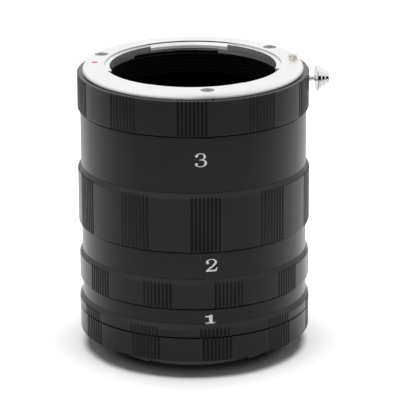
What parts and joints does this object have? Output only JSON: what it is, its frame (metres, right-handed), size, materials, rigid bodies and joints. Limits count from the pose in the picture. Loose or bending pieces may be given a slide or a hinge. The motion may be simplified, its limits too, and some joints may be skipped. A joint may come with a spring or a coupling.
{
  "type": "macro extension tube",
  "caption": "Stack of black screw-together extension tubes with grouped knurling, between a chromed lens bayonet with a lock button and a camera bayonet.",
  "frame": {"origin": "on the light path's axis, at the foot of the camera side bayonet, which the stack stands on", "axes": "+Z along the light path towards the lens; +X towards the lock button's side; -Y is the front of the picture"},
  "size_m": [0.0677, 0.0622, 0.0795],
  "materials": {
    "black_anodised": "satin black anodised",
    "satin_chrome": "fine satin chrome",
    "polished_chrome": "polished chrome",
    "polished_steel": "polished steel",
    "spring_steel": "plain spring steel",
    "dark_screw_steel": "blackened steel",
    "red_enamel": "glossy red"
  },
  "bodies": {
    "camera_mount": {"camera_ring": "black_anodised", "camera_bayonet": "satin_chrome", "camera_bayonet_screws": "dark_screw_steel"},
    "tube_1": {"tube_1": "black_anodised"},
    "tube_2": {"tube_2": "black_anodised"},
    "tube_3": {"tube_3": "black_anodised"},
    "lens_mount": {"lens_ring": "black_anodised", "bayonet_flange": "satin_chrome", "bayonet_flange_screws": "dark_screw_steel", "index_bead": "red_enamel", "claw_spring_1": "spring_steel", "claw_spring_2": "spring_steel", "claw_spring_3": "spring_steel", "lock_pin_spring": "spring_steel"},
    "release": {"lock_pin": "polished_steel", "release_stem": "polished_steel", "release_button": "polished_chrome"}
  },
  "joints": [
    {"name": "tube_1_unscrew", "type": "slide", "parent": "camera_mount", "child": "tube_1", "axis": [0, 0, 1], "range_m": [0, 0.01]},
    {"name": "tube_2_unscrew", "type": "slide", "parent": "tube_1", "child": "tube_2", "axis": [0, 0, 1], "range_m": [0, 0.01]},
    {"name": "tube_3_unscrew", "type": "slide", "parent": "tube_2", "child": "tube_3", "axis": [0, 0, 1], "range_m": [0, 0.01]},
    {"name": "lens_mount_unscrew", "type": "slide", "parent": "tube_3", "child": "lens_mount", "axis": [0, 0, 1], "range_m": [0, 0.01]},
    {"name": "lock_release", "type": "slide", "parent": "lens_mount", "child": "release", "axis": [0, 0, -1], "range_m": [0, 0.0014], "stiffness_N_per_m": 400, "springref_m": -0.001, "deforming": ["lock_pin_spring"]}
  ]
}
